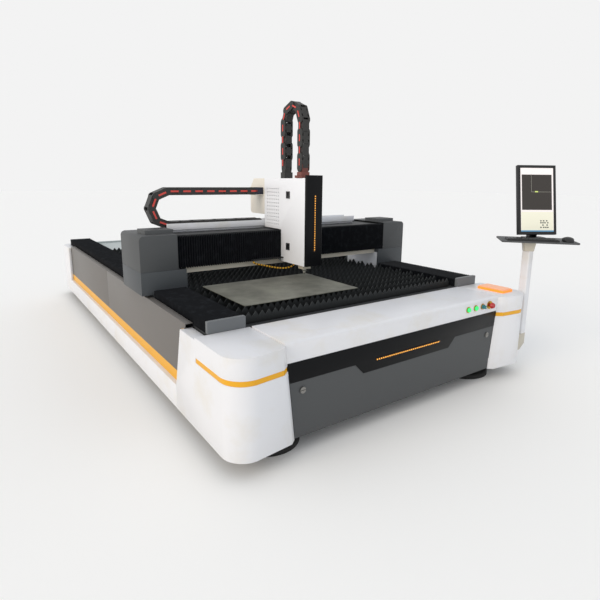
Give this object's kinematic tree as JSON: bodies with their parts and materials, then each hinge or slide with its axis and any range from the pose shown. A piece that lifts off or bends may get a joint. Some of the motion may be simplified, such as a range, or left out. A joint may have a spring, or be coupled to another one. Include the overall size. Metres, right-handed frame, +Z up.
{
  "type": "sheet metal laser cutting machine",
  "caption": "Open flatbed laser cutter for sheet metal: slatted table, travelling gantry with a cutting head on cable chains, scrap drawer and a swivelling operator console.",
  "frame": {"origin": "on the floor, under the middle of the bed and of its four anchor holes", "axes": "+Y along the bed from its front to its back, +X to the operator console, +Z up"},
  "size_m": [2.7164, 4.6526, 1.8915],
  "materials": {
    "white_paint": "satin",
    "grey_paint": "satin",
    "dark_paint": "fine texture",
    "orange_paint": "satin",
    "beige_paint": "satin",
    "frame_paint": "matte",
    "machined_steel": "ground",
    "slat_steel": "dull",
    "sheet_steel": "rolled",
    "bright_steel": "polished",
    "cast_aluminium": "matte",
    "bellows_cloth": "coated",
    "black_plastic": "matte",
    "black_panel": "gloss",
    "pad_rubber": "matte",
    "hose_rubber": "braided",
    "lamp_plastic": "lit",
    "green_plastic": "lit",
    "red_plastic": "gloss",
    "screen_face": "lit"
  },
  "bodies": {
    "bed": {"side_beams": "frame_paint", "cross_frame": "frame_paint", "floor_pads": "pad_rubber", "skirts": "white_paint", "side_bands": "orange_paint", "side_panels": "grey_paint", "corners_front": "white_paint", "corners_rear": "white_paint", "corner_strips": "orange_paint", "front_cover": "white_paint", "rear_panel": "white_paint", "slat_combs": "frame_paint", "table_bars": "dark_paint", "slats": "slat_steel", "work_sheet": "sheet_steel", "scrap_guides": "frame_paint", "rails_and_racks": "machined_steel", "bellows_caps": "dark_paint", "bellows_front": "bellows_cloth", "bellows_rear": "bellows_cloth", "button_rings": "bright_steel", "signal_lamp": "lamp_plastic", "console_foot": "beige_paint", "console_pole": "white_paint"},
    "drawer": {"drawer_front": "dark_paint", "drawer_band": "black_panel", "drawer_light": "lamp_plastic", "drawer_tray": "dark_paint"},
    "lock_left": {"drawer_lock_left": "bright_steel"},
    "lock_right": {"drawer_lock_right": "bright_steel"},
    "gantry": {"gantry_beam": "frame_paint", "gantry_posts": "machined_steel", "leg_covers": "dark_paint", "end_covers": "dark_paint", "leg_plates": "white_paint", "beam_strip": "beige_paint", "chain_tray": "white_paint", "cross_bellows": "bellows_cloth", "cross_chain": "black_plastic"},
    "pinions": {"drive_pinions": "machined_steel"},
    "carriage": {"carriage": "machined_steel", "head_cover": "white_paint", "head_face": "black_panel", "head_light": "lamp_plastic", "cover_latches": "black_plastic", "gas_hose": "hose_rubber", "head_chain": "black_plastic"},
    "head": {"cutting_head": "cast_aluminium", "nozzle": "bright_steel"},
    "start": {"start_button": "green_plastic"},
    "feed": {"feed_button": "green_plastic"},
    "key": {"key_switch": "bright_steel"},
    "stop": {"stop_button": "red_plastic"},
    "console": {"console_neck": "beige_paint", "console_desk": "dark_paint", "keyboard": "black_plastic", "mouse": "black_plastic", "screen_stand": "black_plastic"},
    "screen": {"screen_shell": "black_plastic", "screen_panel": "screen_face"}
  },
  "joints": [
    {"name": "drawer_slide", "type": "slide", "parent": "bed", "child": "drawer", "axis": [0, -1, 0], "range_m": [0, 0.9]},
    {"name": "lock_left_turn", "type": "hinge", "parent": "drawer", "child": "lock_left", "pos_m": [-0.755, -2.168, 0.344], "axis": [0, 1, 0], "range_deg": [0, 90]},
    {"name": "lock_right_turn", "type": "hinge", "parent": "drawer", "child": "lock_right", "pos_m": [0.755, -2.168, 0.344], "axis": [0, 1, 0], "range_deg": [0, 90]},
    {"name": "gantry_travel", "type": "slide", "parent": "bed", "child": "gantry", "axis": [0, 1, 0], "range_m": [-0.65, 2.37], "deforming": ["bellows_front", "bellows_rear"]},
    {"name": "pinion_spin", "type": "hinge", "parent": "gantry", "child": "pinions", "pos_m": [0, -0.785, 0.626], "axis": [1, 0, 0], "range_deg": [-2270, 625]},
    {"name": "head_travel", "type": "slide", "parent": "gantry", "child": "carriage", "axis": [1, 0, 0], "range_m": [-0.7, 0.8], "deforming": ["cross_bellows", "cross_chain"]},
    {"name": "head_lift", "type": "slide", "parent": "carriage", "child": "head", "axis": [0, 0, 1], "range_m": [-0.02, 0.1], "deforming": ["head_chain"]},
    {"name": "start_press", "type": "slide", "parent": "bed", "child": "start", "axis": [0, 1, 0], "range_m": [0, 0.004], "stiffness_N_per_m": 600, "springref_m": -0.002},
    {"name": "feed_press", "type": "slide", "parent": "bed", "child": "feed", "axis": [0, 1, 0], "range_m": [0, 0.004], "stiffness_N_per_m": 600, "springref_m": -0.002},
    {"name": "key_turn", "type": "hinge", "parent": "bed", "child": "key", "pos_m": [0.684, -2.168, 0.5495], "axis": [0, 1, 0], "range_deg": [0, 90]},
    {"name": "stop_press", "type": "slide", "parent": "bed", "child": "stop", "axis": [0, 1, 0], "range_m": [0, 0.006], "stiffness_N_per_m": 900, "springref_m": -0.002},
    {"name": "console_turn", "type": "hinge", "parent": "bed", "child": "console", "pos_m": [1.23, -2.135, 0.872], "axis": [0, 0, 1], "range_deg": [-50, 50]},
    {"name": "screen_tilt", "type": "hinge", "parent": "console", "child": "screen", "pos_m": [1.35505, -2.0849, 1.102], "axis": [0.8572, -0.515, 0], "range_deg": [-10, 10]}
  ],
  "couplings": [
    {"joint": "pinion_spin", "follows": "gantry_travel", "rad_per_m": -16.667}
  ]
}
